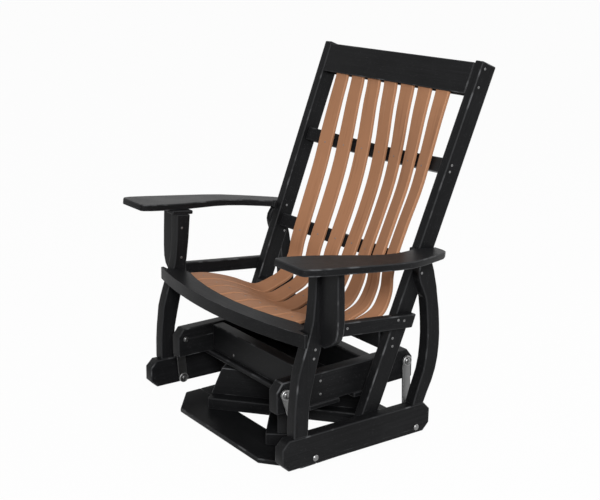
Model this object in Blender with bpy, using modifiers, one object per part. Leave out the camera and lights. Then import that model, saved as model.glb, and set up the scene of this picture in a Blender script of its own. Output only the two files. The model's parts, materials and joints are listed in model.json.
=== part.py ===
"""Swivel glider armchair: a chair hung by four links from a box that turns on a crossed base.
Metres, Z up, sitter faces -Y. Built about the swivel axis, then shifted over the middle of its footprint."""
import math

import bmesh
import bpy
import numpy as np
from mathutils import Matrix, Vector

for old in list(bpy.data.objects):
    bpy.data.objects.remove(old, do_unlink=True)

# Fits: the gap left between pieces that touch, the play of a moving pin, and the rounding of board edges
touch_gap = 0.0003
pin_play = 0.0004
edge_round = 0.0035
steel_round = 0.0008

# Base: a ring of thin boards, two crossed flat planks and two crossed standing boards
ring_half_width = 0.318
ring_half_depth = 0.264
ring_thickness = 0.015
ring_board_width = 0.133
ring_corner_width = 0.1005
ring_corner_depth = 0.0785
cross_angle = math.radians(39.2)
cross_half_length = 0.250
plank_width = 0.107
plank_thickness = 0.0375
stand_thickness = 0.038
stand_height = 0.090
stand_top_share = 0.852

# Swivel: two steel discs and their pin
plate_radius = 0.115
plate_thickness = 0.004
plate_play = 0.0004
swivel_pin_radius = 0.008
swivel_head_radius = 0.014
swivel_head_height = 0.005

# Box that turns on the base
box_side_room = 0.095
box_half_length = 0.246
box_side_thickness = 0.039
box_side_height = 0.091
box_end_chop_length = 0.020
box_end_chop_height = 0.026
bottom_board_width = 0.107
bottom_board_thickness = 0.0153
bottom_board_inset = 0.0265
cross_board_height = 0.087
cross_board_thickness = 0.038
cross_board_inset = 0.082

# Glide links: pins are level with the sides, the upper ones further apart than the lower ones
upper_pin_half_span = 0.220
upper_pin_height = 0.225
lower_pin_half_span = 0.184
lower_pin_drop = 0.0182
link_radius = 0.015
link_thickness = 0.006
link_flat = 0.016
link_top_gap = 0.004
link_bottom_gap = 0.009
open_pivot_play = 0.0022
bolt_radius = 0.005
bolt_head_radius = 0.0095
bolt_head_height = 0.005

# Chair: its frame leans back a little about the floor's width, hanging level with the lower rails
chair_lift = 0.03834
chair_lean = math.radians(1.18)
half_width = 0.383
board = 0.037
rail_height = 0.089
rail_front = 0.295
rail_rear = 0.234
rail_corner = 0.0225

# Front legs, as stations of height share, then front and rear edges as shares of the leg's sweep
front_leg_line = 0.252
front_leg_sweep = 0.106
front_leg_shares = (
    (0.0, -0.05, 0.396), (0.128, -0.045, 0.406), (0.222, -0.02, 0.443), (0.306, 0.019, 0.519),
    (0.363, 0.047, 0.575), (0.421, 0.113, 0.632), (0.484, 0.198, 0.708), (0.547, 0.292, 0.774),
    (0.61, 0.377, 0.821), (0.652, 0.434, 0.84), (0.704, 0.481, 0.877), (0.83, 0.53, 0.943),
    (1.0, 0.547, 1.0),
)

# Rear legs, the same way, measured back from a line
rear_leg_line = 0.168
rear_leg_sweep = 0.092
rear_leg_shares = (
    (0.0, 0.0, 0.446), (0.069, 0.109, 0.587), (0.145, 0.245, 0.761), (0.223, 0.38, 0.891),
    (0.303, 0.457, 0.967), (0.386, 0.489, 1.0), (0.468, 0.495, 1.0), (0.55, 0.467, 0.967),
    (0.633, 0.424, 0.924), (0.717, 0.359, 0.848), (0.76, 0.272, 0.81), (0.8, 0.174, 0.777),
    (0.828, 0.098, 0.74), (0.86, 0.043, 0.7), (0.902, 0.004, 0.647), (0.942, 0.043, 0.58),
    (0.982, 0.163, 0.5), (1.0, 0.207, 0.467),
)

# Back stiles: straight posts leaning back and splayed a little outward, ending just above the top rail's edge
stile_foot = 0.0247
back_lean = math.atan(0.386)
stile_splay = math.radians(1.17)
stile_width = 0.0555
stile_thickness = 0.032
stile_start = 0.024
stile_end_rise = 0.006

# Arms: flat boards falling to the rear, outlined as shares of their length and of their overhang
arm_front = 0.3159
arm_height = 0.603
arm_fall = math.atan(0.092)
arm_thickness = 0.0205
arm_length = 0.568
arm_overhang = 0.115
arm_outer_shares = (
    (0.002, 0.77), (0.016, 0.88), (0.06, 0.945), (0.155, 0.97), (0.29, 0.975),
    (0.451, 0.985), (0.559, 0.975), (0.649, 0.93), (0.746, 0.775), (0.836, 0.6),
    (0.901, 0.46), (0.955, 0.345), (0.99, 0.21), (1.0, 0.08),
)
arm_inner_shares = (
    (0.873, -0.269), (0.806, -0.113), (0.703, 0.052), (0.608, 0.112), (0.52, 0.078), (0.412, -0.061),
    (0.292, -0.2), (0.168, -0.286), (0.068, -0.295), (0.02, -0.26), (0.004, -0.182),
)
arm_notch_lead = 0.0012
arm_tongue = 0.012

# Brackets outside the front legs and pads between leg and arm
bracket_reach = 0.080
bracket_height = 0.225
bracket_front = 0.180
bracket_thickness = 0.024
bracket_shares = (
    (0.0, 0.02), (0.25, 0.0), (0.66, 0.08), (0.86, 0.15),
    (0.96, 0.25), (0.98, 0.4), (0.955, 0.65), (0.9, 1.0),
)
pad_front = 0.207
pad_length = 0.074
pad_thickness = 0.013

# Seat side rails
seat_rail_thickness = 0.024
seat_rail_height = 0.040
seat_rail_level = 0.383
seat_rail_fall = 0.08
seat_rail_rear = 0.170
seat_rail_rake = 0.014
seat_rail_inset = 0.008

# Slats: stations along the outer slats' edge. Each gives depth, height, half width of the set, slat width,
# and how far the middle of the set lies below or behind its edges, as shares of the named sizes. The seat's
# heights are shares of its level at the front, and the back's are shares of its rise above that level.
# Across the set, the dish rises from its middle to its edges with the power dish_power of the distance.
slat_count = 7
slat_thickness = 0.0105
slat_run = 0.352
seat_level = 0.385
back_rise = 0.575
slat_side_room = 0.100
slat_fill_share = 0.9152
slat_sag = 0.046
dish_power = 1.42
front_bow = 0.040
seat_shares = (
    (-0.528, 1.0, 1.0, 1.0, 0.0), (-0.389, 0.99, 0.972, 0.99, 0.18), (-0.216, 0.9475, 0.956, 0.975, 0.42),
    (-0.085, 0.9039, 0.945, 0.96, 0.6), (0.04, 0.852, 0.933, 0.935, 0.72), (0.134, 0.827, 0.925, 0.866, 0.64),
    (0.267, 0.8535, 0.925, 0.819, 0.47), (0.407, 0.908, 0.927, 0.782, 0.43),
)
back_shares = (
    (0.4815, 0.0246, 0.914, 0.758, 0.6), (0.5035, 0.113, 0.895, 0.742, 0.795),
    (0.5425, 0.2, 0.885, 0.729, 0.94), (0.65, 0.374, 0.894, 0.719, 1.04),
    (0.763, 0.5477, 0.915, 0.718, 0.955), (0.8515, 0.7217, 0.926, 0.731, 0.765),
    (0.943, 0.896, 0.93, 0.746, 0.355), (1.002, 1.0, 0.933, 0.758, 0.14), (1.026, 1.05, 0.936, 0.758, 0.0),
)
slat_steps = 2

# Rails across the back, measured along the stiles
back_rail_height = 0.043
back_rail_depth = 0.036
lower_back_rail_at = 0.544
upper_back_rail_at = 0.841
back_rail_gap = 0.0008
top_rail_height = 0.094
top_rail_thickness = 0.037
top_rail_setback = 0.0005
top_slot_depth = 0.012
top_slot_play = 0.0008

# Boards across the seat
apron_thickness = 0.038
apron_end_depth = 0.00875
apron_bow = 0.050
apron_overhang = 0.004
apron_leg_gap = 0.0012
under_board_front = 0.183
under_board_thickness = 0.037
under_board_neck = 0.0479
rear_board_front = 0.086
rear_board_thickness = 0.037
rear_board_neck = 0.0288

black = (0.028, 0.029, 0.031)
brown = (0.42, 0.25, 0.16)
steel = (0.56, 0.57, 0.58)

parts = bpy.data.collections.new("swivel_glider")
cutters = bpy.data.collections.new("cutters")
for group in (parts, cutters):
    bpy.context.scene.collection.children.link(group)


def surface(name, colour, roughness, metallic):
    material = bpy.data.materials.new(name)
    material.use_nodes = True
    shader = material.node_tree.nodes["Principled BSDF"]
    shader.inputs["Base Color"].default_value = (*colour, 1.0)
    shader.inputs["Roughness"].default_value = roughness
    shader.inputs["Metallic"].default_value = metallic
    return material


def empty(name, parent=None, location=(0.0, 0.0, 0.0), turn=(0.0, 0.0, 0.0)):
    frame = bpy.data.objects.new(name, None)
    parts.objects.link(frame)
    frame.parent = parent
    frame.location = location
    frame.rotation_euler = turn
    return frame


def solid(name, mesh_data, parent, look, rounding=edge_round, group=parts):
    mesh = bpy.data.meshes.new(name)
    mesh_data.to_mesh(mesh)
    mesh_data.free()
    piece = bpy.data.objects.new(name, mesh)
    group.objects.link(piece)
    piece.parent = parent
    if look:
        colour, roughness, metallic = look
        mesh.materials.append(surface(name, colour, roughness, metallic))
    if rounding:
        bevel = piece.modifiers.new("Round", "BEVEL")
        bevel.width = rounding
        bevel.segments = 2
        bevel.limit_method = "ANGLE"
        bevel.angle_limit = math.radians(50.0)
    return piece


def extruded(points, along, start, end):
    """Prism over an outline: along x takes (y, z) points, along y takes (x, z), along z takes (x, y)."""
    place = {
        "x": lambda p, s: (s, p[0], p[1]),
        "y": lambda p, s: (p[0], s, p[1]),
        "z": lambda p, s: (p[0], p[1], s),
    }[along]
    shape = bmesh.new()
    lower = [shape.verts.new(place(p, start)) for p in points]
    upper = [shape.verts.new(place(p, end)) for p in points]
    shape.faces.new(lower)
    shape.faces.new(upper)
    for i in range(len(points)):
        j = (i + 1) % len(points)
        shape.faces.new((lower[i], lower[j], upper[j], upper[i]))
    bmesh.ops.recalc_face_normals(shape, faces=shape.faces)
    return shape


def block(x, y, z):
    return extruded([(y[0], z[0]), (y[1], z[0]), (y[1], z[1]), (y[0], z[1])], "x", *x)


def lathed(profile, turn, location, steps=32):
    """Turned piece from (radius, height) points about Z, then turned and moved into place."""
    shape = bmesh.new()
    rings = []
    for radius, height in profile:
        if radius == 0.0:
            rings.append([shape.verts.new((0.0, 0.0, height))])
            continue
        angles = [2.0 * math.pi * i / steps for i in range(steps)]
        rings.append([shape.verts.new((radius * math.cos(a), radius * math.sin(a), height)) for a in angles])
    closed = profile[0][0] != 0.0
    pairs = list(zip(rings, rings[1:]))
    if closed:
        pairs.append((rings[-1], rings[0]))
    for below, above in pairs:
        for i in range(steps):
            j = (i + 1) % steps
            if len(below) == 1:
                shape.faces.new((below[0], above[j], above[i]))
            elif len(above) == 1:
                shape.faces.new((below[i], below[j], above[0]))
            else:
                shape.faces.new((below[i], below[j], above[j], above[i]))
    bmesh.ops.recalc_face_normals(shape, faces=shape.faces)
    bmesh.ops.transform(shape, matrix=Matrix.Translation(location) @ turn, verts=shape.verts)
    return shape


def smooth(piece):
    piece.data.shade_smooth()
    piece.data.set_sharp_from_angle(angle=math.radians(40.0))


def cut_from(piece, shape, parent):
    """Takes a closed shape out of a piece and returns the cutter."""
    cutter = solid(piece.name + " cutter", shape, parent, None, 0.0, cutters)
    cutter.hide_render = True
    cutter.display_type = "WIRE"
    cut = piece.modifiers.new("Cut", "BOOLEAN")
    cut.operation = "DIFFERENCE"
    cut.solver = "EXACT"
    cut.object = cutter
    return cutter


def drilled(piece, radius, centre, length):
    """Cuts a hole along X through a board."""
    profile = [(0.0, -length), (radius, -length), (radius, length), (0.0, length)]
    cut_from(piece, lathed(profile, along_x, centre), piece.parent)


along_x = Matrix.Rotation(math.pi / 2.0, 4, "Y")
upright = Matrix.Identity(4)
sides = ((1.0, "left"), (-1.0, "right"))
ends = ((-1.0, "front"), (1.0, "rear"))
poly_black = (black, 0.5, 0.0)
poly_brown = (brown, 0.55, 0.0)
bare_steel = (steel, 0.32, 1.0)

# Slats: one smooth set of stations serves the slats and every board that meets them
slat_half_width = half_width - slat_side_room
slat_width = slat_fill_share * 2.0 * slat_half_width / slat_count
seat_sizes = np.array([slat_run, seat_level, slat_half_width, slat_width, slat_sag])
back_sizes = np.array([slat_run, back_rise, slat_half_width, slat_width, slat_sag])
back_base = np.array([0.0, seat_level, 0.0, 0.0, 0.0])
stations = np.vstack([np.array(seat_shares) * seat_sizes, back_base + np.array(back_shares) * back_sizes])


def refined(rows, steps):
    """Points of a smooth curve through the rows."""
    padded = np.vstack([2.0 * rows[0] - rows[1], rows, 2.0 * rows[-1] - rows[-2]])
    out = []
    for i in range(1, len(padded) - 2):
        a, b, c, d = padded[i - 1 : i + 3]
        for t in np.arange(steps) / steps:
            cubic = (3.0 * b - a - 3.0 * c + d) * t**3 + (2.0 * a - 5.0 * b + 4.0 * c - d) * t**2
            out.append(b + ((c - a) * t + cubic) / 2.0)
    out.append(padded[-2])
    return np.array(out)


path = refined(stations, slat_steps)
path[:, 4] = np.maximum(path[:, 4], 0.0)
tangent = np.gradient(path[:, :2], axis=0)
tangent = tangent / np.linalg.norm(tangent, axis=1)[:, None]
inward = np.stack([-tangent[:, 1], tangent[:, 0]], axis=1)
inward[0] = (0.0, 1.0)


def slat_drop(i, x):
    """How far the set's top face lies below or behind its edges at station i, x from the middle."""
    return path[i, 4] * (1.0 - (abs(x) / path[i, 2]) ** dish_power)


def slat_point(i, x, depth):
    """Depth and height of a point of the set, depth below its top face."""
    y, z = path[i, :2] - inward[i] * (slat_drop(i, x) + depth)
    if i == 0:
        y -= front_bow * (1.0 - (x / path[i, 2]) ** 2)
    return y, z


def slat_rear(i, x):
    """The same for the rear face, a thickness away square to the dish."""
    half = path[i, 2]
    slope = path[i, 4] * dish_power * (abs(x) / half) ** (dish_power - 1.0) / half
    return slat_point(i, x, slat_thickness * math.hypot(1.0, slope))


# The slats' tops seen from the back frame: they give the top rail its height, and the stiles theirs
back_cosine = math.cos(back_lean)
back_sine = math.sin(back_lean)
lean_turn = np.array([[back_cosine, -back_sine], [back_sine, back_cosine]])
slat_tops = []
for i in (len(path) - 2, len(path) - 1):
    for x in (0.0, path[i, 2]):
        for y, z in (slat_point(i, x, 0.0), slat_rear(i, x)):
            slat_tops.append(lean_turn @ np.array([y + stile_foot, z]))
slot_front = min(p[0] for p in slat_tops) - top_slot_play
slot_rear = max(p[0] for p in slat_tops) + top_slot_play
slot_top = max(p[1] for p in slat_tops) + touch_gap
top_rail_bottom = slot_top - top_slot_depth
stile_end = top_rail_bottom + top_rail_height + stile_end_rise

# The object's middle lies between the front of the arms and the top of the stiles
lean_sine = math.sin(chair_lean)
lean_cosine = math.cos(chair_lean)
arm_nose = -arm_front * lean_cosine + arm_height * lean_sine
stile_top_height = stile_end * math.cos(back_lean) - stile_width * math.sin(back_lean)
stile_top_depth = stile_end * math.sin(back_lean) + stile_width * math.cos(back_lean) - stile_foot
stile_tail = stile_top_depth * lean_cosine + stile_top_height * lean_sine
middle = (arm_nose + stile_tail) / 2.0
base = empty("base frame", None, (0.0, -middle, 0.0))

# Base boards
for sign, end in ends:
    tip = sign * ring_half_depth
    outline = [
        (-ring_half_width, tip - sign * ring_board_width),
        (-ring_half_width, tip - sign * ring_corner_depth),
        (ring_corner_width - ring_half_width, tip),
        (ring_half_width - ring_corner_width, tip),
        (ring_half_width, tip - sign * ring_corner_depth),
        (ring_half_width, tip - sign * ring_board_width),
    ]
    solid(f"floor_board_{end}", extruded(outline, "z", 0.0, ring_thickness), base, poly_black)
side_end = ring_half_depth - ring_board_width - touch_gap
for sign, side in sides:
    edges = sorted((sign * ring_half_width, sign * (ring_half_width - ring_board_width)))
    solid(f"floor_board_{side}", block(edges, (-side_end, side_end), (0.0, ring_thickness)), base, poly_black)

crossing = 2.0 * cross_angle
first_turn = (0.0, 0.0, cross_angle)
second_turn = (0.0, 0.0, -cross_angle)
long_way = empty("long diagonal", base, (0.0, 0.0, 0.0), first_turn)
short_way = empty("short diagonal", base, (0.0, 0.0, 0.0), second_turn)
plank_bottom = ring_thickness + touch_gap
plank_top = plank_bottom + plank_thickness
half_plank = plank_width / 2.0
solid(
    "plank_long",
    block((-cross_half_length, cross_half_length), (-half_plank, half_plank), (plank_bottom, plank_top)),
    long_way,
    poly_black,
)
plank_near = (half_plank + touch_gap) / math.sin(crossing)
plank_slew = half_plank / math.tan(crossing)
for sign, end in ends:
    outline = [
        (sign * cross_half_length, -half_plank),
        (sign * cross_half_length, half_plank),
        (sign * plank_near + plank_slew, half_plank),
        (sign * plank_near - plank_slew, -half_plank),
    ]
    solid(f"plank_{end}", extruded(outline, "z", plank_bottom, plank_top), short_way, poly_black)
stand_bottom = plank_top + touch_gap
stand_top = stand_bottom + stand_height
half_stand = stand_thickness / 2.0
stand_short = cross_half_length * stand_top_share
stand_outline = [
    (-cross_half_length, stand_bottom),
    (cross_half_length, stand_bottom),
    (stand_short, stand_top),
    (-stand_short, stand_top),
]
solid("stand_long", extruded(stand_outline, "y", -half_stand, half_stand), long_way, poly_black)
stand_near = (half_stand + touch_gap) / math.sin(crossing) + half_stand / math.tan(crossing)
for sign, end in ends:
    outline = [
        (sign * stand_near, stand_bottom),
        (sign * cross_half_length, stand_bottom),
        (sign * stand_short, stand_top),
        (sign * stand_near, stand_top),
    ]
    solid(f"stand_{end}", extruded(outline, "y", -half_stand, half_stand), short_way, poly_black)

# Swivel discs and pin
lower_plate = stand_top + touch_gap
upper_plate = lower_plate + plate_thickness + plate_play
plates_top = upper_plate + plate_thickness
bore = swivel_pin_radius + pin_play


def disc(bottom):
    return [
        (bore, bottom),
        (plate_radius, bottom),
        (plate_radius, bottom + plate_thickness),
        (bore, bottom + plate_thickness),
    ]


def swivel_part(name, profile, parent, steps):
    smooth(solid(name, lathed(profile, upright, (0.0, 0.0, 0.0), steps), parent, bare_steel, 0.0))


swivel_part("swivel_plate_lower", disc(lower_plate), base, 48)
pin_head = plates_top + plate_play
pin_profile = [
    (0.0, lower_plate),
    (swivel_pin_radius, lower_plate),
    (swivel_pin_radius, pin_head),
    (swivel_head_radius, pin_head),
    (swivel_head_radius, pin_head + swivel_head_height),
    (0.0, pin_head + swivel_head_height),
]
swivel_part("swivel_pin", pin_profile, base, 32)
turning = empty("swivel frame", base)
swivel_part("swivel_plate_upper", disc(upper_plate), turning, 48)

# Box, as wide as the chair's sides leave room for
box_half_width = half_width - box_side_room
bottom_board = plates_top + touch_gap
bottom_top = bottom_board + bottom_board_thickness
for sign, end in ends:
    edges = sorted((sign * bottom_board_inset, sign * (bottom_board_inset + bottom_board_width)))
    solid(
        f"box_bottom_{end}",
        block((-box_half_width, box_half_width), edges, (bottom_board, bottom_top)),
        turning,
        poly_black,
    )
box_floor = bottom_top + touch_gap
box_top = box_floor + box_side_height
box_inner = box_half_width - box_side_thickness
side_outline = [
    (-box_half_length, box_floor),
    (box_half_length, box_floor),
    (box_half_length, box_top - box_end_chop_height),
    (box_half_length - box_end_chop_length, box_top),
    (box_end_chop_length - box_half_length, box_top),
    (-box_half_length, box_top - box_end_chop_height),
]
hole_radius = bolt_radius + pin_play
for sign, side in sides:
    edges = sorted((sign * box_inner, sign * box_half_width))
    piece = solid(f"box_side_{side}", extruded(side_outline, "x", *edges), turning, poly_black)
    for way, _ in ends:
        centre = (sign * box_half_width, way * upper_pin_half_span, upper_pin_height)
        drilled(piece, hole_radius, centre, 2.0 * box_side_thickness)
for sign, end in ends:
    edges = sorted((sign * cross_board_inset, sign * (cross_board_inset + cross_board_thickness)))
    reach = box_inner - touch_gap
    solid(
        f"box_cross_{end}",
        block((-reach, reach), edges, (box_floor, box_floor + cross_board_height)),
        turning,
        poly_black,
    )

# Where the pins are: the lower ones belong to the chair, which leans
chair = empty("chair frame", turning, (0.0, 0.0, chair_lift), (-chair_lean, 0.0, 0.0))
rail_inner = half_width - board


def bolt(name, parent, sign, inside, outside, location):
    """Bolt across a board: a head at each end, lying along X from inside to outside."""
    profile = [
        (0.0, inside - bolt_head_height),
        (bolt_head_radius, inside - bolt_head_height),
        (bolt_head_radius, inside),
        (bolt_radius, inside),
        (bolt_radius, outside),
        (bolt_head_radius, outside),
        (bolt_head_radius, outside + bolt_head_height),
        (0.0, outside + bolt_head_height),
    ]
    turned = Matrix.Rotation(sign * math.pi / 2.0, 4, "Y")
    smooth(solid(name, lathed(profile, turned, location, 20), parent, bare_steel, 0.0))


link_top_inner = box_half_width + link_top_gap
link_top_outer = link_top_inner + link_thickness
link_bottom_outer = rail_inner - link_bottom_gap
link_bottom_inner = link_bottom_outer - link_thickness
for sign, side in sides:
    for way, end in ends:
        bolt(
            f"bolt_upper_{end}_{side}",
            turning,
            sign,
            box_inner - touch_gap,
            link_top_outer + touch_gap,
            (0.0, way * upper_pin_half_span, upper_pin_height),
        )
        bolt(
            f"bolt_lower_{end}_{side}",
            chair,
            sign,
            link_bottom_inner - touch_gap,
            half_width + touch_gap,
            (0.0, way * lower_pin_half_span, lower_pin_drop),
        )


def chair_to_box(y, z):
    """Depth and height in the box's frame of a point in the chair's leaning frame."""
    return y * lean_cosine + z * lean_sine, z * lean_cosine - y * lean_sine + chair_lift


def link(name, sign, way):
    """Flat strap from an upper pin to a lower one, bent to run out from the box's side to the rail's."""
    top = Vector((way * upper_pin_half_span, upper_pin_height))
    bottom = Vector(chair_to_box(way * lower_pin_half_span, lower_pin_drop))
    down = (bottom - top).normalized()
    heading = math.atan2(down.y, down.x)
    rounds = 10
    outline = []
    for centre, start in ((bottom, heading - math.pi / 2.0), (top, heading + math.pi / 2.0)):
        for i in range(rounds + 1):
            angle = start + math.pi * i / rounds
            away = Vector((math.cos(angle), math.sin(angle))) * link_radius
            outline.append((centre.x + away.x, centre.y + away.y))
    shape = extruded(outline, "x", 0.0, link_thickness)
    length = (bottom - top).length
    for distance in (link_flat, length - link_flat):
        at = top + distance * down
        everything = shape.verts[:] + shape.edges[:] + shape.faces[:]
        bmesh.ops.bisect_plane(shape, geom=everything, plane_co=(0.0, *at), plane_no=(0.0, *down))
    for vertex in shape.verts:
        distance = (Vector(vertex.co.yz) - top).dot(down)
        share = min(1.0, max(0.0, (distance - link_flat) / (length - 2.0 * link_flat)))
        vertex.co.x = sign * (vertex.co.x + link_top_inner + share * (link_bottom_inner - link_top_inner))
    bmesh.ops.recalc_face_normals(shape, faces=shape.faces)
    hanger = empty(name + " pivot", turning, (0.0, top.x, top.y))
    bmesh.ops.translate(shape, vec=(0.0, -top.x, -top.y), verts=shape.verts)
    piece = solid(name, shape, hanger, bare_steel, steel_round)
    middle_top = sign * (link_top_inner + link_thickness / 2.0)
    middle_bottom = sign * (link_bottom_inner + link_thickness / 2.0)
    drilled(piece, hole_radius, (middle_top, 0.0, 0.0), 3.0 * link_thickness)
    low_radius = hole_radius if way > 0.0 else hole_radius + open_pivot_play
    drilled(piece, low_radius, (middle_bottom, bottom.x - top.x, bottom.y - top.y), 3.0 * link_thickness)


for sign, side in sides:
    for way, end in ends:
        link(f"link_{end}_{side}", sign, way)

# Lower rails
rail_outline = [
    (-rail_front, rail_corner),
    (rail_corner - rail_front, 0.0),
    (rail_rear - rail_corner, 0.0),
    (rail_rear, rail_corner),
    (rail_rear, rail_height - rail_corner),
    (rail_rear - rail_corner, rail_height),
    (rail_corner - rail_front, rail_height),
    (-rail_front, rail_height - rail_corner),
]
for sign, side in sides:
    edges = sorted((sign * rail_inner, sign * half_width))
    piece = solid(f"rail_{side}", extruded(rail_outline, "x", *edges), chair, poly_black)
    for way, _ in ends:
        centre = (sign * half_width, way * lower_pin_half_span, lower_pin_drop)
        drilled(piece, hole_radius, centre, 2.0 * board)


def arm_top(y):
    return arm_height - (y + arm_front) * math.tan(arm_fall)


arm_depth = arm_thickness / math.cos(arm_fall)
pad_depth = pad_thickness / math.cos(arm_fall)


def leg_outline(shares, line, sweep, foot, head):
    """Outline of a curved leg between the rail and a sloped line that head gives for any depth."""
    front = []
    rear = []
    for height_share, front_share, rear_share in shares:
        near = line + front_share * sweep
        far = line + rear_share * sweep
        front.append((near, foot + height_share * (head(near) - foot)))
        rear.append((far, foot + height_share * (head(far) - foot)))
    return front + rear[::-1]


foot = rail_height + touch_gap
arm_under = arm_depth + touch_gap
front_outline = leg_outline(
    front_leg_shares, -front_leg_line, front_leg_sweep, foot, lambda y: arm_top(y) - arm_under - pad_depth
)
rear_outline = leg_outline(
    rear_leg_shares, rear_leg_line, rear_leg_sweep, foot, lambda y: arm_top(y) - arm_under
)
rear_legs = []
for sign, side in sides:
    edges = sorted((sign * rail_inner, sign * half_width))
    solid(f"front_leg_{side}", extruded(front_outline, "x", *edges), chair, poly_black)
    rear_legs.append(solid(f"rear_leg_{side}", extruded(rear_outline, "x", *edges), chair, poly_black))

# Back stiles, standing in a frame that leans back: clear of the rails below, let into the rear legs above
back = empty("back frame", chair, (0.0, -stile_foot, 0.0), (-back_lean, 0.0, 0.0))
rail_meet = (rail_height + stile_width * math.sin(back_lean)) / math.cos(back_lean)
stile_outer = rail_inner - touch_gap - rail_meet * math.tan(stile_splay)


def stile(sign, gap):
    """Outline solid of a stile, larger by a gap all round."""
    edges = sorted((sign * gap, -sign * (stile_thickness + gap)))
    return block(edges, (-gap, stile_width + gap), (stile_start - gap, stile_end + gap))


for (sign, side), leg in zip(sides, rear_legs):
    post = solid(f"stile_{side}", stile(sign, 0.0), back, poly_black)
    for piece in (post, cut_from(leg, stile(sign, touch_gap), back)):
        piece.location = (sign * stile_outer, 0.0, 0.0)
        piece.rotation_euler = (0.0, sign * stile_splay, 0.0)


def stile_face(height, inner):
    """Half width to a stile's inner or outer face at a distance up the back frame."""
    away = stile_outer + height * math.tan(stile_splay)
    return away - stile_thickness / math.cos(stile_splay) if inner else away


def stile_front(z):
    return z * math.tan(back_lean) - stile_foot


# Arms, brackets and pads
arm_frame = empty("arm frame", chair, (0.0, -arm_front, arm_height), (-arm_fall, 0.0, 0.0))
notch_height = arm_top(stile_front(arm_height))
notch_front = (stile_front(notch_height - arm_depth) + arm_front) / math.cos(arm_fall) - arm_notch_lead
notch_outer = stile_face(arm_height / math.cos(back_lean), False) + arm_notch_lead
outer_edge = [(half_width + reach * arm_overhang, run * arm_length) for run, reach in arm_outer_shares]
inner_edge = [(half_width + reach * arm_overhang, run * arm_length) for run, reach in arm_inner_shares]
tongue = stile_face(arm_height / math.cos(back_lean), True) + arm_tongue
arm_outline = outer_edge + [
    (notch_outer, arm_length),
    (notch_outer, notch_front),
    (tongue, notch_front),
    (tongue, notch_front - arm_tongue),
] + inner_edge
bracket_root = half_width + touch_gap
bracket_top = arm_top(bracket_thickness - bracket_front) - arm_depth - touch_gap
bracket_foot = bracket_top - bracket_height
bracket_outline = [
    (bracket_root + run * bracket_reach, bracket_foot + rise * bracket_height) for run, rise in bracket_shares
] + [(bracket_root, bracket_top)]
pad_start = (arm_front - pad_front) / math.cos(arm_fall)
pad_top = -arm_thickness - touch_gap
pad_bottom = touch_gap - pad_thickness - arm_thickness
for sign, side in sides:
    mirrored = [(sign * x, y) for x, y in arm_outline]
    solid(f"arm_{side}", extruded(mirrored, "z", -arm_thickness, 0.0), arm_frame, poly_black)
    mirrored = [(sign * x, z) for x, z in bracket_outline]
    solid(
        f"arm_bracket_{side}",
        extruded(mirrored, "y", -bracket_front, bracket_thickness - bracket_front),
        chair,
        poly_black,
    )
    edges = sorted((sign * rail_inner, sign * half_width))
    pad = block(edges, (pad_start, pad_start + pad_length), (pad_bottom, pad_top))
    solid(f"arm_pad_{side}", pad, arm_frame, poly_black)

# Seat side rails run from the rear of each front leg past the stile
def seat_rail_top(y):
    return seat_rail_level - seat_rail_fall * y


leg_back_edge = sorted((z, y) for y, z in front_outline[len(front_leg_shares):])
seat_start = -front_leg_line
for _ in range(4):
    span = np.linspace(seat_rail_top(seat_start) - seat_rail_height, seat_rail_top(seat_start), 9)
    reach = np.interp(span, [z for z, y in leg_back_edge], [y for z, y in leg_back_edge])
    seat_start = float(max(reach)) + touch_gap
seat_rail_inner = rail_inner + seat_rail_inset
seat_end = seat_rail_rear - seat_rail_rake
seat_outline = [
    (seat_start, seat_rail_top(seat_start) - seat_rail_height),
    (seat_end, seat_rail_top(seat_end) - seat_rail_height),
    (seat_rail_rear, seat_rail_top(seat_rail_rear)),
    (seat_start, seat_rail_top(seat_start)),
]
for sign, side in sides:
    edges = sorted((sign * seat_rail_inner, sign * (seat_rail_inner + seat_rail_thickness)))
    solid(f"seat_rail_{side}", extruded(seat_outline, "x", *edges), chair, poly_black)

# Slats
def slat_edges(i, slat):
    half_spread = path[i, 2] - path[i, 3] / 2.0
    centre = half_spread * (2.0 * slat / (slat_count - 1.0) - 1.0)
    return centre - path[i, 3] / 2.0, centre + path[i, 3] / 2.0


for slat in range(slat_count):
    shape = bmesh.new()
    rings = []
    for i in range(len(path)):
        low, high = slat_edges(i, slat)
        tilt = math.atan2(slat_drop(i, low) - slat_drop(i, high), high - low)
        across = slat_thickness * math.sin(tilt)
        down = slat_thickness * math.cos(tilt)
        corners = ((low, 0.0, 0.0), (high, 0.0, 0.0), (high, across, down), (low, across, down))
        rings.append([shape.verts.new((x + aside, *slat_point(i, x, depth))) for x, aside, depth in corners])
    for before, after in zip(rings, rings[1:]):
        for k in range(4):
            m = (k + 1) % 4
            shape.faces.new((before[k], before[m], after[m], after[k]))
    shape.faces.new(rings[0])
    shape.faces.new(rings[-1])
    bmesh.ops.recalc_face_normals(shape, faces=shape.faces)
    solid(f"slat_{slat + 1}", shape, chair, poly_brown, 0.0)


def behind(x_share, low, high):
    """Furthest reach of the slats' rear at a share of the set's half width, between two heights."""
    reach = []
    for i in range(slat_steps * len(seat_shares), len(path)):
        y, z = slat_rear(i, x_share * path[i, 2])
        depth, up = lean_turn @ np.array([y + stile_foot, z])
        reach.append((up, depth))
    return float(np.max(np.interp(np.linspace(low, high, 5), *np.array(reach).T)))


def edge_shares(i):
    """Shares of the half width at which the slats' edges lie at a station."""
    out = []
    for slat in range(slat_count):
        out += [x / path[i, 2] for x in slat_edges(i, slat)]
    return out


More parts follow.
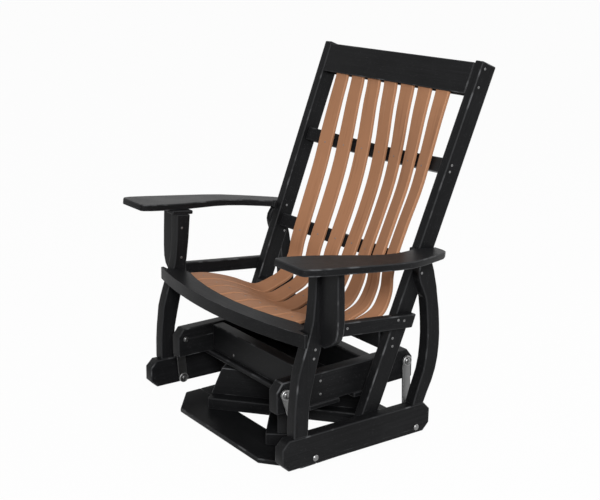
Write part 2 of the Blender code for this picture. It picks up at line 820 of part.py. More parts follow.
def back_rail(name, centre):
    low = centre - back_rail_height / 2.0
    high = centre + back_rail_height / 2.0
    near = int(np.argmin(np.abs(path[:, 1] - centre * math.cos(back_lean))))
    half = path[near, 2]
    end = stile_face(low, True) - touch_gap
    corner = 1.0 + slat_thickness / (2.0 * half)
    shares = [-end / half, -corner, *edge_shares(near), corner, end / half]
    front = [(share * half, behind(share, low, high) + back_rail_gap) for share in shares]
    rear = [(x, y + back_rail_depth) for x, y in front[::-1]]
    solid(name, extruded(front + rear, "z", low, high), back, poly_black)


back_rail("back_rail_lower", lower_back_rail_at)
back_rail("back_rail_upper", upper_back_rail_at)

# Top rail with a slot in its underside for the slats
top_rail_rear = top_rail_setback + top_rail_thickness
top_end = stile_face(top_rail_bottom, True) - touch_gap
top_rail_reach = (top_rail_bottom, top_rail_bottom + top_rail_height)
top_board = block((-top_end, top_end), (top_rail_setback, top_rail_rear), top_rail_reach)
slot_reach = (top_rail_bottom - top_slot_depth, slot_top)
top_slot = block((-half_width, half_width), (slot_front, slot_rear), slot_reach)
cut_from(solid("top_rail", top_board, back, poly_black), top_slot, back)


def under(x, start, end):
    """Lowest height of the slats' underside at x between two depths."""
    heights = []
    for i in range(1, slat_steps * len(seat_shares)):
        heights.append(slat_rear(i, x))
    heights.sort()
    depths = [y for y, _ in heights]
    levels = [z for _, z in heights]
    return float(np.min(np.interp(np.linspace(start, end, 5), depths, levels)))


# Curved apron: it stands in front of the legs and takes the slats' front ends along its rear edge
slat_front = path[0, 0]
seat_top = path[0, 1]
apron_top = seat_top
apron_bottom = apron_top - apron_thickness
leg_nose = min(y for y, z in front_outline if z > apron_bottom - front_leg_sweep / 4.0)
apron_end_rear = leg_nose - apron_leg_gap
apron_half = half_width + apron_overhang


def apron_nose(x):
    return apron_end_rear - apron_end_depth - apron_bow * (1.0 - (x / apron_half) ** 2)


def apron_back(x):
    return slat_front - front_bow * (1.0 - (x / path[0, 2]) ** 2) - touch_gap


spread = path[0, 2]
shares = sorted({round(share, 6) for share in edge_shares(0)})
front_shares = np.linspace(-1.0, 1.0, 21)
apron_outline = [(share * apron_half, apron_nose(share * apron_half)) for share in front_shares]
apron_outline += [
    (apron_half, apron_end_rear),
    (rail_inner - touch_gap, apron_end_rear),
    (rail_inner - touch_gap, slat_front),
    (spread + touch_gap, slat_front),
]
apron_outline += [(share * spread, apron_back(share * spread)) for share in shares[::-1]]
apron_outline += [
    (-spread - touch_gap, slat_front),
    (touch_gap - rail_inner, slat_front),
    (touch_gap - rail_inner, apron_end_rear),
    (-apron_half, apron_end_rear),
]
solid("apron", extruded(apron_outline, "z", apron_bottom, apron_top), chair, poly_black)


def seat_board(name, start, thickness, neck, reach_at):
    """Board on edge across the seat, its top cut to the slats and its neck the height left at their dip."""
    end = start + thickness
    near = int(np.argmin(np.abs(path[: len(path) // 2, 0] - start)))
    half = path[near, 2]
    xs = [share * half for share in edge_shares(near)]
    top = [(x, under(x, start, end) - back_rail_gap) for x in xs]
    bottom = min(z for _, z in top) - neck
    reach = reach_at(bottom) - touch_gap
    outline = [(-reach, bottom), (reach, bottom), (reach, top[-1][1])] + top[::-1] + [(-reach, top[0][1])]
    solid(name, extruded(outline, "y", start, end), chair, poly_black)


seat_board("under_board", -under_board_front, under_board_thickness, under_board_neck, lambda z: rail_inner)
seat_board(
    "rear_board",
    rear_board_front,
    rear_board_thickness,
    rear_board_neck,
    lambda z: stile_face(z / math.cos(back_lean), True),
)
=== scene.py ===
import json
import math

import bmesh
import bpy
import numpy as np
from mathutils import Matrix, Vector


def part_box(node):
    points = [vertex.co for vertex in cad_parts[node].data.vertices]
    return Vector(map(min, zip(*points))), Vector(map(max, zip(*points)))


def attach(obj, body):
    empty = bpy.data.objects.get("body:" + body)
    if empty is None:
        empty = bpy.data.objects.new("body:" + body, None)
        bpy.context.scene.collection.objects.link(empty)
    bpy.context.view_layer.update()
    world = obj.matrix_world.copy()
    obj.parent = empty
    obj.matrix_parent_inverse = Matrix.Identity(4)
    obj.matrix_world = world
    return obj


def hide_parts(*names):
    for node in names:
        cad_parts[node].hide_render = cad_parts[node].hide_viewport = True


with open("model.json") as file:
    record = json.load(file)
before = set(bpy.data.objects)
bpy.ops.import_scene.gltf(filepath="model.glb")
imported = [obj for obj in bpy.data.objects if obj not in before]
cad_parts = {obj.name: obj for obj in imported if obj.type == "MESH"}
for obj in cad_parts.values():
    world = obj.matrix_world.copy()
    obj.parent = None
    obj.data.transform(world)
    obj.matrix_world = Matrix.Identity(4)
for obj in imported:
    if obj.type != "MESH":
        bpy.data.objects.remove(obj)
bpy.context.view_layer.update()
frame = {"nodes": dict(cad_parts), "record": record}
nodes = frame["nodes"]
bodyOf = {node: body for body, names in frame["record"]["behaviour"]["bodies"].items() for node in names}
quarter = math.pi / 2.0
print("frame loaded:", len(nodes), "nodes")


def placed(name, data):
    # a new object at the origin
    made = bpy.data.objects.new(name, data)
    bpy.context.scene.collection.objects.link(made)
    return made


# camera, as the photograph was taken
camera = {
    "place": (2.6536, -1.9610, 1.4665), "azimuth": 54.081, "down": 15.967,
    "lens": 67.853, "sensor": 36.0, "farClip": 50.0,
}
shot = placed("camera", bpy.data.cameras.new("camera"))
shot.data.lens = camera["lens"]
shot.data.sensor_width = camera["sensor"]
shot.data.clip_end = camera["farClip"]
shot.location = camera["place"]
shot.rotation_euler = (quarter - math.radians(camera["down"]), 0.0, math.radians(camera["azimuth"]))
bpy.context.scene.camera = shot


class Wire:
    # one value in a node tree: arithmetic on it adds Math nodes
    def __init__(self, tree, socket):
        self.tree = tree
        self.socket = socket

    def __add__(self, other):
        return self.tree.maths("ADD", self, other)

    def __radd__(self, other):
        return self.tree.maths("ADD", other, self)

    def __sub__(self, other):
        return self.tree.maths("SUBTRACT", self, other)

    def __rsub__(self, other):
        return self.tree.maths("SUBTRACT", other, self)

    def __mul__(self, other):
        return self.tree.maths("MULTIPLY", self, other)

    def __rmul__(self, other):
        return self.tree.maths("MULTIPLY", other, self)

    def __truediv__(self, other):
        return self.tree.maths("DIVIDE", self, other)

    def __pow__(self, other):
        return self.tree.maths("POWER", self, other)


class Tree:
    # a node tree of any kind
    def __init__(self, group):
        self.group = group

    def feed(self, socket, value):
        if isinstance(value, Wire):
            self.group.links.new(value.socket, socket)
        else:
            socket.default_value = value

    def add(self, kind, settings=None, sockets=None):
        # a new node: its settings first, then the value or link of each socket; gives its live outputs
        node = self.group.nodes.new(kind)
        for key, value in (settings or {}).items():
            if key == "stops":
                while len(node.color_ramp.elements) < len(value):
                    node.color_ramp.elements.new(0.5)
                for stop, (at, shade) in zip(node.color_ramp.elements, value):
                    stop.position = at
                    stop.color = shade
            else:
                setattr(node, key, value)
        for key, value in (sockets or {}).items():
            self.feed(node.inputs[key], value)
        live = [output for output in node.outputs if output.enabled]
        return {key: Wire(self, output) for i, output in enumerate(live) for key in (i, output.name)}

    def maths(self, operation, *values):
        return self.add("ShaderNodeMath", {"operation": operation}, dict(enumerate(values)))[0]

    def seen(self):
        # 1 for the rays that show a background: from the camera, off gloss and through glass
        rays = self.add("ShaderNodeLightPath")
        direct = self.maths("MAXIMUM", rays["Is Camera Ray"], rays["Is Glossy Ray"])
        return self.maths("MAXIMUM", direct, rays["Is Transmission Ray"])


class Finish(Tree):
    # one material
    def __init__(self, name):
        self.material = bpy.data.materials.new(name)
        self.material.use_nodes = True
        self.shader = self.material.node_tree.nodes["Principled BSDF"]
        super().__init__(self.material.node_tree)

    def stretch(self, place, scale):
        return self.add("ShaderNodeMapping", {}, {"Vector": place, "Scale": scale})[0]

    def noise(self, place, pattern):
        # a pattern holds its scale, its detail and its roughness
        scale, detail, roughness = pattern
        sockets = {"Vector": place, "Scale": scale, "Detail": detail, "Roughness": roughness}
        return self.add("ShaderNodeTexNoise", {}, sockets)[0]

    def between(self, value, low, high):
        return self.add("ShaderNodeMapRange", {}, {"Value": value, "From Min": low, "From Max": high})[0]

    def blend(self, share, first, second):
        return self.add("ShaderNodeMix", {"data_type": "RGBA"}, {0: share, 6: first, 7: second})[0]

    def bump(self, height, depth, strength=1.0):
        return self.add("ShaderNodeBump", {}, {"Strength": strength, "Distance": depth, "Height": height})[0]

    def set(self, **sockets):
        for key, value in sockets.items():
            self.feed(self.shader.inputs[key.replace("_", " ")], value)
        return self.material


noiseMiddle = 0.5

blackLumber = {
    "color": (0.0042, 0.0043, 0.0047, 1.0),
    "pale": (0.027, 0.0274, 0.029, 1.0),
    "roughness": 0.40,
    "gloss": 0.065,
    "bump": 0.00022,
    "grain": (0.012, 1.0, 1.0),
    "streak": (340.0, 5.0, 0.62),
    "mottle": (9.0, 3.0, 0.5),
    "streakPower": 2.0,
    "streakPale": 0.9,
    "mottlePale": 1.3,
    "streakRough": 0.25,
    "mottleRough": 0.16,
    "streakHeight": 0.8,
    "mottleHeight": 0.2,
    "fleck": (0.22, 0.22, 0.23, 1.0),
    "flecksPerMetre": 520.0,
    "fleckRadius": 0.20,
    "fleckRare": 0.93,
    "fleckShare": 0.55,
    # routed: a pale colour painted on the routed edges as a highlight, in streaks
    "routed": (0.030, 0.0305, 0.032, 1.0),
    "highlightStreak": 0.9,
    "highlightShare": 0.15,
    # glint: a brighter colour painted in patches on the routed edges as glints of light
    "glint": (0.105, 0.107, 0.111, 1.0),
    "glintPatch": (16.0, 2.0, 0.5),
    "glintFrom": 0.545,
    "glintTo": 0.64,
    "glintShare": 0.65,
}


def lumberBlack(name, turn):
    # black plastic lumber: streaks along the board, a soft mottle, fine pale flecks, and on the routed edges
    # a painted highlight in streaks and painted glints in patches
    look = blackLumber
    finish = Finish(name)
    place = finish.add("ShaderNodeTexCoord")["Object"]
    along = finish.add("ShaderNodeMapping", {}, {"Vector": place, "Rotation": turn})[0]
    streak = finish.noise(finish.stretch(along, look["grain"]), look["streak"])
    mottle = finish.noise(along, look["mottle"])
    pale = streak ** look["streakPower"] * look["streakPale"] * mottle * look["mottlePale"]
    base = finish.blend(pale, look["color"], look["pale"])
    cells = finish.add("ShaderNodeTexVoronoi", {}, {"Vector": along, "Scale": look["flecksPerMetre"]})
    near = finish.maths("LESS_THAN", cells["Distance"], look["fleckRadius"])
    chance = finish.add("ShaderNodeSeparateColor", {}, {"Color": cells["Color"]})[0]
    rare = finish.maths("GREATER_THAN", chance, look["fleckRare"])
    speckled = finish.blend(near * rare * look["fleckShare"], base, look["fleck"])
    routed = finish.add("ShaderNodeAttribute", {"attribute_name": "routed"})["Fac"]
    # painted highlight: the pale routed colour laid along the rounded edge strips, streaky
    edgeHighlight = routed * (streak * look["highlightStreak"] + look["highlightShare"])
    edgeHighlighted = finish.blend(edgeHighlight, speckled, look["routed"])
    # painted glints: patches of the glint colour on the routed edges
    glintSpots = finish.between(finish.noise(place, look["glintPatch"]), look["glintFrom"], look["glintTo"])
    color = finish.blend(routed * glintSpots * look["glintShare"], edgeHighlighted, look["glint"])
    rough = look["roughness"] + (streak - noiseMiddle) * look["streakRough"]
    rough = rough + (mottle - noiseMiddle) * look["mottleRough"]
    bump = finish.bump(streak * look["streakHeight"] + mottle * look["mottleHeight"], look["bump"])
    return finish.set(Base_Color=color, Roughness=rough, Normal=bump, Specular_IOR_Level=look["gloss"])


brownLumber = {
    "dark": (0.215, 0.100, 0.050, 1.0),
    "color": (0.365, 0.178, 0.094, 1.0),
    "light": (0.480, 0.272, 0.175, 1.0),
    "stops": ((0.30, "dark"), (0.47, "color"), (0.60, "color"), (0.78, "light")),
    "roughness": 0.55,
    "gloss": 0.15,
    "bump": 0.00018,
    "streakStretch": (2.2, 90.0, 90.0),
    "streak": (1.0, 6.0, 0.6),
    "fineStretch": (9.0, 520.0, 520.0),
    "fine": (1.0, 3.0, 0.5),
    "cloudStretch": (5.0, 14.0, 14.0),
    "cloud": (1.0, 2.0, 0.5),
    "streakTone": 0.55,
    "fineTone": 0.15,
    "cloudTone": 0.32,
    "fineRough": 0.2,
    "streakHeight": 0.5,
    "fineHeight": 0.5,
    # rimHighlight: a pale colour painted as a highlight in a narrow band along each slat's rounded edges
    "rimHighlight": (0.560, 0.330, 0.210, 1.0),
    "rimHighlightShare": 0.22,
    "rimFrom": 0.0262,
    "rimTo": 0.0285,
    "rimEnd": 0.03,
}


def lumberBrown(name):
    # light brown plastic lumber: long streaks that follow each slat, stored on it as the attribute grain,
    # and a painted highlight along each slat's edges
    look = brownLumber
    finish = Finish(name)
    place = finish.add("ShaderNodeAttribute", {"attribute_name": "grain"})["Vector"]
    streak = finish.noise(finish.stretch(place, look["streakStretch"]), look["streak"])
    fine = finish.noise(finish.stretch(place, look["fineStretch"]), look["fine"])
    cloud = finish.noise(finish.stretch(place, look["cloudStretch"]), look["cloud"])
    tone = streak * look["streakTone"] + fine * look["fineTone"] + cloud * look["cloudTone"]
    stops = [(at, look[shade]) for at, shade in look["stops"]]
    body = finish.add("ShaderNodeValToRGB", {"stops": stops}, {0: tone})[0]
    across = finish.add("ShaderNodeSeparateXYZ", {}, {0: place})["Y"]
    reach = finish.maths("ABSOLUTE", across)
    # painted highlight: a pale band along each slat's rounded edges
    rimHighlight = finish.between(reach, look["rimFrom"], look["rimTo"])
    rimHighlight = rimHighlight - finish.between(reach, look["rimTo"], look["rimEnd"])
    color = finish.blend(rimHighlight * look["rimHighlightShare"], body, look["rimHighlight"])
    rough = look["roughness"] + (fine - noiseMiddle) * look["fineRough"]
    bump = finish.bump(streak * look["streakHeight"] + fine * look["fineHeight"], look["bump"])
    return finish.set(Base_Color=color, Roughness=rough, Normal=bump, Specular_IOR_Level=look["gloss"])


bareSteel = {
    "line": (1.0, 3.0, 0.5),
    "dull": (60.0, 2.0, 0.5),
    "darkShare": 0.8,
    "paleShare": 1.1,
    "lineRough": 0.16,
    "dullRough": 0.08,
    "bump": 0.00005,
    "bumpStrength": 0.6,
    "finishes": {
        "drawnSteel": (0.21, 0.36, (40.0, 40.0, 900.0)),
        "swivelSteel": (0.32, 0.42, (300.0, 300.0, 40.0)),
        "screwSteel": (0.30, 0.36, (600.0, 600.0, 600.0)),
        "brownScrew": (0.22, 0.45, (600.0, 600.0, 600.0)),
    },
}


def steelFinish(name):
    # drawn steel: fine lines one way, with a faint dulling; a finish has its shade, roughness and stretch
    look = bareSteel
    shade, roughness, stretch = look["finishes"][name]
    finish = Finish(name)
    place = finish.add("ShaderNodeTexCoord")["Object"]
    line = finish.noise(finish.stretch(place, stretch), look["line"])
    dull = finish.noise(place, look["dull"])
    dark, pale = ((shade * look[share],) * 3 + (1.0,) for share in ("darkShare", "paleShare"))
    color = finish.blend(dull, dark, pale)
    rough = roughness + (line - noiseMiddle) * look["lineRough"] + dull * look["dullRough"]
    bump = finish.bump(line, look["bump"], look["bumpStrength"])
    return finish.set(Base_Color=color, Roughness=rough, Metallic=1.0, Normal=bump)


# the turn that brings each kind of board's length onto the streaks' way
stileLean = math.radians(22.28)
diagonal = math.radians(39.2)
black = {
    "across": lumberBlack("blackAcross", (0.0, 0.0, 0.0)),
    "deep": lumberBlack("blackDeep", (0.0, 0.0, -quarter)),
    "upright": lumberBlack("blackUpright", (0.0, quarter, 0.0)),
    "stile": lumberBlack("blackStile", (stileLean, quarter, 0.0)),
    "longDiagonal": lumberBlack("blackLongDiagonal", (0.0, 0.0, -diagonal)),
    "shortDiagonal": lumberBlack("blackShortDiagonal", (0.0, 0.0, diagonal)),
}
brown = lumberBrown("brownSlats")
steel, darkSteel, screwSteel, brownScrew = (steelFinish(name) for name in bareSteel["finishes"])
print("finishes made")


def keep(piece, body, finish, replaced=()):
    piece.data.materials.clear()
    piece.data.materials.append(finish)
    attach(piece, body)
    if replaced:
        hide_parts(*replaced)
    return piece


def flattened(piece):
    # what the modifiers make becomes the piece's own mesh
    plain = bpy.data.meshes.new_from_object(piece.evaluated_get(bpy.context.evaluated_depsgraph_get()))
    piece.modifiers.clear()
    piece.data = plain
    return piece


edges = {"routedWidth": 0.0034, "merge": 0.00002, "flatAngle": 0.6}  # faces narrower than this are routed


def dressed(node, finish, crease):
    # a merged copy of a CAD node, shaded so that its rounded edges catch the light; routed marks those edges
    mesh = nodes[node].data.copy()
    shape = bmesh.new()
    shape.from_mesh(mesh)
    bmesh.ops.remove_doubles(shape, verts=shape.verts, dist=edges["merge"])
    flat = math.radians(edges["flatAngle"])
    bmesh.ops.dissolve_limit(shape, angle_limit=flat, verts=shape.verts, edges=shape.edges)
    strips = []
    for face in shape.faces:
        face.smooth = True
        longest = max(edge.calc_length() for edge in face.edges)
        strips.append(1.0 if face.calc_area() < edges["routedWidth"] * longest else 0.0)
    shape.to_mesh(mesh)
    shape.free()
    mesh.attributes.new("routed", "FLOAT", "FACE").data.foreach_set("value", strips)
    mesh.set_sharp_from_angle(angle=math.radians(crease))
    piece = placed("look_" + node, mesh)
    soften = piece.modifiers.new("Soften", "WEIGHTED_NORMAL")
    soften.mode = "FACE_AREA"
    soften.keep_sharp = True
    return keep(flattened(piece), bodyOf[node], finish, (node,))


# the boards by the way their grain runs; a name that ends in _ stands for a left and a right one
boards = {
    "across": (
        "floor_board_front", "floor_board_rear", "box_bottom_front", "box_bottom_rear",
        "box_cross_front", "box_cross_rear", "apron", "under_board", "rear_board",
        "back_rail_lower", "back_rail_upper", "top_rail",
    ),
    "deep": ("floor_board_", "box_side_", "rail_", "seat_rail_", "arm_", "arm_pad_"),
    "upright": ("front_leg_", "rear_leg_", "arm_bracket_"),
    "stile": ("stile_",),
    "longDiagonal": ("plank_long", "stand_long"),
    "shortDiagonal": ("plank_front", "plank_rear", "stand_front", "stand_rear"),
}
creases = {"board": 60.0, "link": 50.0, "plate": 40.0}

looks = {}
for grain, names in boards.items():
    for name in names:
        for node in (name + "left", name + "right") if name.endswith("_") else (name,):
            looks[node] = dressed(node, black[grain], creases["board"])
print("boards dressed:", len(looks))

corners = ("front_left", "front_right", "rear_left", "rear_right")
for corner in corners:
    looks["link_" + corner] = dressed("link_" + corner, steel, creases["link"])
for node in ("swivel_plate_lower", "swivel_plate_upper", "swivel_pin"):
    dressed(node, darkSteel, creases["plate"])
print("steel dressed")


# slats: a station holds its shares of the run, the level or rise, the half width, a slat's width and the sag
slats = {
    "count": 7, "thickness": 0.0105, "run": 0.352, "level": 0.385, "rise": 0.575,
    "halfWidth": 0.283, "fill": 0.9152, "sag": 0.046, "power": 1.42, "bow": 0.040, "steps": 6,
    "edge": 0.0028, "edgeSteps": 3, "edgeAngle": 40.0,
    "lift": 0.03834, "lean": math.radians(1.18), "axisForward": 0.0798,  # where the chair hangs at rest
    "grainShift": 3.7, "grainWidth": 0.06,
    "seat": (
        (-0.528, 1.0, 1.0, 1.0, 0.0), (-0.389, 0.99, 0.972, 0.99, 0.18),
        (-0.216, 0.9475, 0.956, 0.975, 0.42), (-0.085, 0.9039, 0.945, 0.96, 0.6),
        (0.04, 0.852, 0.933, 0.935, 0.72), (0.134, 0.827, 0.925, 0.866, 0.64),
        (0.267, 0.8535, 0.925, 0.819, 0.47), (0.407, 0.908, 0.927, 0.782, 0.43),
    ),
    "upper": (
        (0.4815, 0.0246, 0.914, 0.758, 0.6), (0.5035, 0.113, 0.895, 0.742, 0.795),
        (0.5425, 0.2, 0.885, 0.729, 0.94), (0.65, 0.374, 0.894, 0.719, 1.04),
        (0.763, 0.5477, 0.915, 0.718, 0.955), (0.8515, 0.7217, 0.926, 0.731, 0.765),
        (0.943, 0.896, 0.93, 0.746, 0.355), (1.002, 1.0, 0.933, 0.758, 0.14),
        (1.026, 1.05, 0.936, 0.758, 0.0),
    ),
}


def smoothRows(rows, steps):
    # a smooth curve through the rows, with steps points to each stretch between two of them
    padded = np.vstack([2.0 * rows[0] - rows[1], rows, 2.0 * rows[-1] - rows[-2]])
    out = []
    for i in range(1, len(padded) - 2):
        a, b, c, d = padded[i - 1 : i + 3]
        for t in np.arange(steps) / steps:
            cubic = (3.0 * b - a - 3.0 * c + d) * t**3 + (2.0 * a - 5.0 * b + 4.0 * c - d) * t**2
            out.append(b + ((c - a) * t + cubic) / 2.0)
    out.append(padded[-2])
    return np.array(out)


def slatPath():
    # one vertex a row, at the middle of the set, with what the node tree reads there
    width = slats["fill"] * 2.0 * slats["halfWidth"] / slats["count"]
    seat = np.array(slats["seat"]) * (slats["run"], slats["level"], slats["halfWidth"], width, slats["sag"])
    upper = np.array(slats["upper"]) * (slats["run"], slats["rise"], slats["halfWidth"], width, slats["sag"])
    upper[:, 1] += slats["level"]
    rows = smoothRows(np.vstack([seat, upper]), slats["steps"])
    forward, height, half, wide, sag = rows.T
    tangent = np.gradient(rows[:, :2], axis=0)
    tangent /= np.linalg.norm(tangent, axis=1)[:, None]
    length = np.concatenate([[0.0], np.cumsum(np.hypot(np.diff(forward), np.diff(height)))])
    inward = np.stack([np.zeros(len(rows)), -tangent[:, 1], tangent[:, 0]], axis=1)
    inward[0] = (0.0, 0.0, 1.0)
    bow = np.zeros(len(rows))
    bow[0] = slats["bow"]
    mesh = bpy.data.meshes.new("slatPath")
    points = [(0.0, y, z) for y, z in zip(forward, height)]
    mesh.from_pydata(points, [(i, i + 1) for i in range(len(points) - 1)], [])
    stored = {"half": half, "width": wide, "sag": np.maximum(sag, 0.0), "run": length, "bow": bow}
    for name, values in stored.items():
        mesh.attributes.new(name, "FLOAT", "POINT").data.foreach_set("value", values.astype(np.float32))
    facing = mesh.attributes.new("inward", "FLOAT_VECTOR", "POINT")
    facing.data.foreach_set("vector", inward.astype(np.float32).ravel())
    return mesh


def newTree(name, inputs, output):
    # an empty Geometry Nodes tree with named inputs
    group = bpy.data.node_groups.new(name, "GeometryNodeTree")
    for label, kind in inputs.items():
        group.interface.new_socket(label, in_out="INPUT", socket_type="NodeSocket" + kind)
    group.interface.new_socket(output, in_out="OUTPUT", socket_type="NodeSocketGeometry")
    return Tree(group)


def endTree(tree, geometry, finish):
    whole = tree.add("GeometryNodeRealizeInstances", {}, {"Geometry": geometry})[0]
    painted = tree.add("GeometryNodeSetMaterial", {}, {"Geometry": whole, "Material": finish})[0]
    tree.add("NodeGroupOutput", {}, {0: painted})
    return tree.group


def slatTree():
    # node tree: a strip for each slat, laid along the path and dished across the set
    inputs = {"Path": "Geometry", "Rows": "Int", "Count": "Int", "Finish": "Material", "Power": "Float"}
    inputs.update({"Grain Shift": "Float", "Grain Width": "Float"})
    tree = newTree("slatSet", inputs, "Slats")
    given = tree.add("NodeGroupInput")
    rows, count = given["Rows"], given["Count"]

    # a unit strip on each of the line's points: x runs along the slat, y across it, and z counts the slats
    size = {"Size X": 1.0, "Size Y": 1.0, "Vertices X": rows, "Vertices Y": 2}
    strip = tree.add("GeometryNodeMeshGrid", {}, size)["Mesh"]
    line = tree.add("GeometryNodeMeshLine", {}, {"Count": count, "Offset": (0.0, 0.0, 1.0)})["Mesh"]
    laid = tree.add("GeometryNodeInstanceOnPoints", {}, {"Points": line, "Instance": strip})[0]
    real = tree.add("GeometryNodeRealizeInstances", {}, {"Geometry": laid})[0]
    position = tree.add("GeometryNodeInputPosition")[0]
    unit = tree.add("ShaderNodeSeparateXYZ", {}, {0: position})
    row = tree.maths("ROUND", (unit["X"] + 0.5) * (rows - 1.0))

    def sample(kind, value):
        sockets = {"Geometry": given["Path"], "Value": value, "Index": row}
        return tree.add("GeometryNodeSampleIndex", {"data_type": kind}, sockets)[0]

    def read(name, kind="FLOAT"):
        named = tree.add("GeometryNodeInputNamedAttribute", {"data_type": kind}, {"Name": name})
        return sample(kind, named["Attribute"])

    half, width, sag, run, bow = (read(name) for name in ("half", "width", "sag", "run", "bow"))
    order = unit["Z"] * 2.0 / (count - 1.0) - 1.0
    x = (half - width * 0.5) * order + width * unit["Y"]
    share = x / half
    bulge = 1.0 - tree.maths("ABSOLUTE", share) ** given["Power"]
    dish = {0: read("inward", "FLOAT_VECTOR"), "Scale": sag * bulge * -1.0}
    down = tree.add("ShaderNodeVectorMath", {"operation": "SCALE"}, dish)[0]
    sideways = tree.add("ShaderNodeCombineXYZ", {}, {"X": x, "Y": bow * (1.0 - share * share) * -1.0})[0]
    place = sample("FLOAT_VECTOR", position)
    for step in (down, sideways):
        place = tree.add("ShaderNodeVectorMath", {"operation": "ADD"}, {0: place, 1: step})[0]

    along = run + unit["Z"] * given["Grain Shift"]
    across = unit["Y"] * given["Grain Width"]
    grain = tree.add("ShaderNodeCombineXYZ", {}, {"X": along, "Y": across, "Z": unit["Z"]})
    marks = {"Geometry": real, "Name": "grain", "Value": grain[0]}
    marked = tree.add("GeometryNodeStoreNamedAttribute", {"data_type": "FLOAT_VECTOR"}, marks)[0]
    shaped = tree.add("GeometryNodeSetPosition", {}, {"Geometry": marked, "Position": place})[0]
    return endTree(tree, shaped, given["Finish"])


def runTree(name, mesh, group, values):
    # a modifier whose inputs are set by their identifiers, turned into a plain mesh
    piece = placed(name, mesh)
    modifier = piece.modifiers.new(name, "NODES")
    modifier.node_group = group
    names = {item.name: item.identifier for item in group.interface.items_tree if item.in_out == "INPUT"}
    for key, value in values.items():
        modifier[names[key]] = value
    bpy.context.view_layer.update()
    return flattened(piece)


path = slatPath()
slatSet = runTree("look_slats", path, slatTree(), {
    "Rows": len(path.vertices), "Count": slats["count"], "Finish": brown, "Power": slats["power"],
    "Grain Shift": slats["grainShift"], "Grain Width": slats["grainWidth"],
})
slatTilt = Matrix.Rotation(-slats["lean"], 4, "X")
slatSet.data.transform(Matrix.Translation((0.0, -slats["axisForward"], slats["lift"])) @ slatTilt)
shape = bmesh.new()
shape.from_mesh(slatSet.data)
bmesh.ops.reverse_faces(shape, faces=[face for face in shape.faces if face.normal.z < 0.0])
for face in shape.faces:
    face.smooth = True
shape.to_mesh(slatSet.data)
shape.free()
wall = slatSet.modifiers.new("Thick", "SOLIDIFY")
wall.thickness = slats["thickness"]
wall.offset = -1.0
wall.use_even_offset = False
rounding = slatSet.modifiers.new("Round", "BEVEL")
rounding.width = slats["edge"]
rounding.segments = slats["edgeSteps"]
rounding.limit_method = "ANGLE"
rounding.angle_limit = math.radians(slats["edgeAngle"])
rounding.harden_normals = True
keep(slatSet, "chair", brown, [f"slat_{i + 1}" for i in range(slats["count"])])
print("slats made:", slats["count"])


turnedCrease = math.radians(42.0)


def lathe(profile, steps):
    # a closed turned mesh from pairs of radius and height
    shape = bmesh.new()
    rings = []
    for radius, height in profile:
        if radius == 0.0:
            rings.append([shape.verts.new((0.0, 0.0, height))])
            continue
        angles = [2.0 * math.pi * i / steps for i in range(steps)]
        rings.append([shape.verts.new((radius * math.cos(a), radius * math.sin(a), height)) for a in angles])
    for below, above in zip(rings, rings[1:]):
        for i in range(steps):
            j = (i + 1) % steps
            if len(below) == 1:
                shape.faces.new((below[0], above[j], above[i]))
            elif len(above) == 1:
                shape.faces.new((below[i], below[j], above[0]))
            else:
                shape.faces.new((below[i], below[j], above[j], above[i]))
    bmesh.ops.recalc_face_normals(shape, faces=shape.faces)
    for face in shape.faces:
        face.smooth = True
    mesh = bpy.data.meshes.new("turned")
    shape.to_mesh(mesh)
    shape.free()
    mesh.set_sharp_from_angle(angle=turnedCrease)
    return mesh


def middle(low, high):
    return (low + high) / 2.0


# bolts: a low domed head and washer outside, a nut and washer inside
bolts = {
    "radius": 0.005, "washer": 0.0093, "washerThick": 0.0012, "head": 0.0085, "dome": 0.0036, "steps": 32,
    "domeAngles": (0.25, 0.6, 0.95, 1.25), "nutShare": 0.8, "nutTipShare": 0.72, "nutChamfer": 0.0006,
}


def boltMesh(low, high, sign):
    size = bolts
    inner, outer = (low, high) if sign > 0.0 else (-high, -low)
    thick, washer = size["washerThick"], size["washer"]
    nutTip, nutRadius = size["head"] * size["nutTipShare"], size["head"] * size["nutShare"]
    head = outer - size["dome"] - thick
    nut = inner + size["dome"] + thick
    profile = [(0.0, inner), (nutTip, inner), (nutRadius, inner + size["nutChamfer"])]
    profile += [(nutRadius, nut - thick), (washer, nut - thick), (washer, nut), (size["radius"], nut)]
    profile += [(size["radius"], head), (washer, head), (washer, head + thick)]
    for angle in size["domeAngles"]:
        profile.append((size["head"] * math.cos(angle), head + thick + size["dome"] * math.sin(angle)))
    profile.append((0.0, outer))
    mesh = lathe(profile, size["steps"])
    mesh.transform(Matrix.Rotation(sign * quarter, 4, "Y"))
    return mesh


for row in ("upper", "lower"):
    for corner in corners:
        node = f"bolt_{row}_{corner}"
        low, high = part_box(node)
        mesh = boltMesh(low[0], high[0], 1.0 if corner.endswith("left") else -1.0)
        mesh.transform(Matrix.Translation((0.0, middle(low[1], high[1]), middle(low[2], high[2]))))
        keep(placed("look_" + node, mesh), bodyOf[node], steel, (node,))
print("bolts made")


# bearings: a dark steel ring round the pin at both ends of every link
bearings = {
    "inner": 0.0122, "outer": 0.0160, "proud": 0.0016, "chamfer": 0.0012, "steps": 32, "merge": 0.00001,
}


def ringMesh(low, high, centre):
    inner, outer, cut = bearings["inner"], bearings["outer"], bearings["chamfer"]
    profile = [(inner, low), (outer - cut, low), (outer, low + cut)]
    profile += [(outer, high - cut), (outer - cut, high), (inner, high), (inner, low)]
    mesh = lathe(profile, bearings["steps"])
    mesh.transform(Matrix.Translation((0.0, *centre)) @ Matrix.Rotation(quarter, 4, "Y"))
    return mesh


